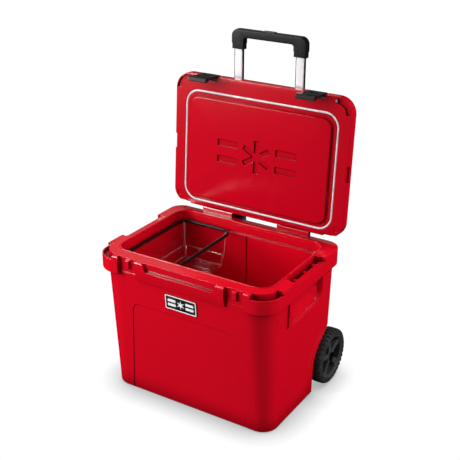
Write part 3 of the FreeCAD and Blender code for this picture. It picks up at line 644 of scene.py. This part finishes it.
def block(bm, c, mid, w, half, r, deep):
    """Chevron block in the middle of the tread."""
    loops = []
    for x, shift in ((-half, CHEVRON), (0.0, 0.0), (half, CHEVRON)):
        a, b = mid - w + shift * w, mid + w + shift * w
        loops.append([on_wheel(c, x, r, a), on_wheel(c, x, r, b), on_wheel(c, x, r - deep, b),
                      on_wheel(c, x, r - deep, a)])
    skin(bm, loops, caps=True)


def wheel_piece(side, sign, mats):
    """Moulded wheel: dished rim flange, five flared spokes, barrel, back web darkened as painted shade."""
    lo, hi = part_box("tyre_" + side)
    half = (hi.x - lo.x) / 2
    rin = (hi.z - lo.z) / 2 - TYRE_DEPTH * MM
    c = middle(lo, hi)
    bm = bmesh.new()
    flange = [(-half + 3 * MM, rin), (-half + 3 * MM, rin - 4.2 * MM), (-4 * MM, rin - 5.2 * MM),
              (half - 13 * MM, rin - 5.4 * MM), (half - 8.5 * MM, rin - 6.6 * MM),
              (half - 6.2 * MM, rin - 6.4 * MM), (half - 4.6 * MM, rin - 4.6 * MM),
              (half - 3.0 * MM, rin - 3.6 * MM), (half - 1.6 * MM, rin - 2.2 * MM),
              (half - 1.2 * MM, rin - 0.6 * MM), (half - 1.8 * MM, rin + 0.6 * MM),
              (half - 4 * MM, rin + 0.6 * MM)]
    lathe(bm, flange, c, 96, sign)
    web = [(-half + 12 * MM, 8 * MM), (-half + 12 * MM, rin - 3 * MM),
           (-half + 15 * MM, rin - 3 * MM), (-half + 15 * MM, 8 * MM)]
    # painted shade: the back web takes the second, near-black material
    start = len(bm.faces)
    lathe(bm, web, c, 72, sign)
    bm.faces.ensure_lookup_table()
    for f in bm.faces[start:]:
        f.material_index = 1
    barrel = [(-half + 2 * MM, 6.1 * MM), (-half + 2 * MM, 15 * MM), (-half + 5 * MM, 17 * MM),
              (half - 12 * MM, 17.5 * MM), (half - 8.6 * MM, 17.3 * MM), (half - 7.2 * MM, 16.2 * MM),
              (half - 7.0 * MM, 14.4 * MM), (half - 9.5 * MM, 14.0 * MM), (half - 9.5 * MM, 6.1 * MM)]
    lathe(bm, barrel, c, 64, sign)
    for k in range(SPOKES):
        spoke(bm, c, sign, 2 * math.pi * k / SPOKES + SPOKE_START, half, rin)
    wheel = piece("wheel_moulding_" + side, bm, mats["wheel_black"], "wheel_" + side,
                  ["wheel_" + side], bevel=0.0005)
    wheel.data.materials.append(mats["web_painted_shade"])


def spoke(bm, c, sign, t, half, rin):
    """Spoke with rounded roots and a shallow ridge along its face."""
    r0, r1 = 15.5 * MM, rin - 4.5 * MM
    back = -half + 17 * MM
    cos, sin = math.cos(t), math.sin(t)
    loops = []
    for k in range(SPOKE_STOPS + 1):
        u = k / SPOKE_STOPS
        r = r0 + (r1 - r0) * u
        root = max(0.0, 1 - u / ROOT_REACH) ** 2
        tip = max(0.0, (u - TIP_START) / (1 - TIP_START)) ** 2
        w = (6.4 + 1.5 * u + 4.0 * root + 11.0 * tip) * MM
        face = (half - 7.6 * MM) - 1.6 * MM * math.sin(math.pi * u)
        section = ((-w, back), (-w, face - 1.6 * MM), (-0.72 * w, face), (-0.3 * w, face + 0.1 * MM),
                   (0.0, face + 0.9 * MM), (0.3 * w, face + 0.1 * MM), (0.72 * w, face),
                   (w, face - 1.6 * MM), (w, back))
        loops.append([(c[0] + sign * x, c[1] + r * cos - s * sin, c[2] + r * sin + s * cos)
                      for s, x in section])
    skin(bm, loops, caps=True)


def hub_pieces(side, sign, mats):
    """Polished ring and dark centre cap."""
    lo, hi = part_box("hub_ring_" + side)
    c = middle(lo, hi)
    d = (hi.x - lo.x) / 2
    bm = bmesh.new()
    ring = [(-d, 13.9), (0.0, 14.1), (0.5 * d, 14.0), (0.86 * d, 13.0), (d, 11.6), (d, 10.2),
            (0.8 * d, 8.6), (0.45 * d, 7.7), (-0.2 * d, 7.3), (-d, 7.3)]
    lathe(bm, [(x, r * MM) for x, r in ring], c, 64, sign)
    piece("hub_bright_ring_" + side, bm, mats["hub_metal"], "wheel_" + side, ["hub_ring_" + side])
    lo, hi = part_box("hub_plug_" + side)
    c = middle(lo, hi)
    d = (hi.x - lo.x) / 2
    bm = bmesh.new()
    cap = [(-d, 0.2), (-d, 7.1), (0.3 * d, 7.1), (0.8 * d, 6.5), (d, 5.6), (d, 3.2),
           (0.5 * d, 2.8), (0.5 * d, 0.2)]
    lathe(bm, [(x, r * MM) for x, r in cap], c, 48, sign)
    piece("hub_cap_" + side, bm, mats["hub_black"], "wheel_" + side, ["hub_plug_" + side])


def wheels(mats):
    """Both wheels; sign turns the outer face away from the box."""
    for side, sign in (("right", 1.0), ("left", -1.0)):
        tyre_piece(side, sign, mats)
        wheel_piece(side, sign, mats)
        hub_pieces(side, sign, mats)


# ---- studio ----
SKY_HIGH = 0.48
SKY_LOW = 0.14
SKY_FROM = -0.6         # upward parts of a direction between which the sky goes from low to high
SKY_TO = 0.8
CONTACT = 0.11          # reach of the contact shade on the floor, in metres
CONTACT_SHADE = (0.42, 0.42, 0.42)
CONTACT_RAMP = (0.35, 0.93)
CONTACT_SAMPLES = 16
FLOOR_WHITE = (1.0, 1.0, 1.0)
FLOOR_GLOW = 1.02
COVE_RADIUS = 14.0      # floor stays flat this far out, then sweeps up
COVE_RISE = 9.0
COVE_FLAT_RINGS = 6
COVE_CURVE_RINGS = 12
COVE_SIDES = 64
LAMPS = (               # name, offset from the object's middle, width, height, watts, highlights
    ("front", (-2.3, -2.4, 0.9), 1.5, 1.5, 124.0, True),
    ("key", (-1.55, -1.3, 2.5), 0.25, 1.7, 32.0, True),
    ("side", (2.7, 0.6, 0.9), 1.2, 1.5, 70.0, False),
    ("back", (1.1, 2.2, 1.3), 0.4, 0.4, 14.0, False),
    ("left", (-2.4, -0.4, 1.3), 0.6, 1.2, 8.0, True),
    ("sheen", (-1.4, 2.3, 1.3), 1.6, 1.0, 1.7, True),
)


def lamp(name, offset, width, height, power, glossy):
    """Soft rectangular lamp aimed at the middle; glossy says if it shows as a highlight."""
    aim = (cad_box[0] + cad_box[1]) / 2
    data = bpy.data.lights.new(name, "AREA")
    data.shape = "RECTANGLE"
    data.size = width
    data.size_y = height
    data.energy = power
    o = bpy.data.objects.new(name, data)
    o.location = aim + Vector(offset)
    o.rotation_euler = (-Vector(offset)).to_track_quat("-Z", "Y").to_euler()
    o.visible_glossy = glossy
    bpy.context.scene.collection.objects.link(o)


def cove():
    """Plain white floor that sweeps up all round.

    It glows evenly and is darkened near what stands on it, so the lamps cast no shadow on it.
    """
    bm = bmesh.new()
    rings = [[COVE_RADIUS * k / COVE_FLAT_RINGS, 0.0] for k in range(1, COVE_FLAT_RINGS + 1)]
    for k in range(1, COVE_CURVE_RINGS + 1):
        t = math.pi / 2 * k / COVE_CURVE_RINGS
        rings.append([COVE_RADIUS + COVE_RISE * math.sin(t), COVE_RISE * (1 - math.cos(t))])
    turn = [2 * math.pi * k / COVE_SIDES for k in range(COVE_SIDES)]
    loops = [[bm.verts.new((r * math.cos(t), r * math.sin(t), z)) for t in turn] for r, z in rings]
    bm.faces.new(loops[0])
    for low, high in zip(loops, loops[1:]):
        for k in range(COVE_SIDES):
            n = (k + 1) % COVE_SIDES
            bm.faces.new((low[k], high[k], high[n], low[n]))
    for f in bm.faces:
        f.smooth = True
    bmesh.ops.recalc_face_normals(bm, faces=bm.faces)
    mesh = bpy.data.meshes.new("floor")
    bm.to_mesh(mesh)
    bm.free()
    floor = bpy.data.objects.new("floor", mesh)
    bpy.context.scene.collection.objects.link(floor)
    n = Nodes("floor_white")
    near = n.add("ShaderNodeAmbientOcclusion", {"Distance": CONTACT}, samples=CONTACT_SAMPLES)
    n.link(n.ramp(near.outputs["AO"], CONTACT_SHADE, FLOOR_WHITE, *CONTACT_RAMP), "Emission Color")
    n.set(Base_Color=(0.0, 0.0, 0.0, 1.0), Specular_IOR_Level=0.0, Emission_Strength=FLOOR_GLOW)
    mesh.materials.append(n.m)
    floor.visible_glossy = False
    floor.visible_diffuse = False


def sky():
    """White sky, strong overhead and weak from below, that makes no highlights."""
    world = bpy.context.scene.world or bpy.data.worlds.new("studio")
    bpy.context.scene.world = world
    world.use_nodes = True
    t = world.node_tree
    place = t.nodes.new("ShaderNodeTexCoord")
    axes = t.nodes.new("ShaderNodeSeparateXYZ")
    level = t.nodes.new("ShaderNodeMapRange")
    t.links.new(place.outputs["Generated"], axes.inputs["Vector"])
    t.links.new(axes.outputs["Z"], level.inputs["Value"])
    limits = (("From Min", SKY_FROM), ("From Max", SKY_TO), ("To Min", SKY_LOW), ("To Max", SKY_HIGH))
    for name, value in limits:
        level.inputs[name].default_value = value
    t.links.new(level.outputs["Result"], t.nodes["Background"].inputs["Strength"])
    t.nodes["Background"].inputs["Color"].default_value = (1.0, 1.0, 1.0, 1.0)
    world.cycles_visibility.glossy = False


def studio():
    """Pale floor, white sky and soft lamps."""
    cove()
    sky()
    for row in LAMPS:
        lamp(*row)


def camera():
    """Camera at the photographed angle, with the small roll of the photograph."""
    a, t, r = CAMERA_AZIMUTH, CAMERA_TILT, CAMERA_ROLL
    ahead = Vector((-math.sin(a) * math.cos(t), math.cos(a) * math.cos(t), -math.sin(t)))
    side = ahead.cross(Vector((0, 0, 1))).normalized()
    up = side.cross(ahead)
    right = side * math.cos(r) + up * math.sin(r)
    top = up * math.cos(r) - side * math.sin(r)
    data = bpy.data.cameras.new("camera")
    data.lens = CAMERA_LENS
    data.sensor_width = SENSOR
    data.sensor_fit = "HORIZONTAL"
    o = bpy.data.objects.new("camera", data)
    m = Matrix((right, top, -ahead)).transposed().to_4x4()
    m.translation = Vector(CAMERA_PLACE)
    o.matrix_world = m
    bpy.context.scene.collection.objects.link(o)
    bpy.context.scene.camera = o


# ---- build ----
materials = make_materials()
slots = {s["node"]: s["material_slot"] for s in frame["record"]["subparts"]}
slots["grip_screws"] = "screw_dark"     # darker than the slot that the record names
for name in NODES:
    dress(name, materials[slots[name]])

basket_tray(materials)
basket_band(materials)
gasket(materials)
badge(materials)
wheels(materials)
studio()
camera()
bpy.context.scene.view_settings.view_transform = "Standard"
bpy.context.scene.view_settings.look = "None"
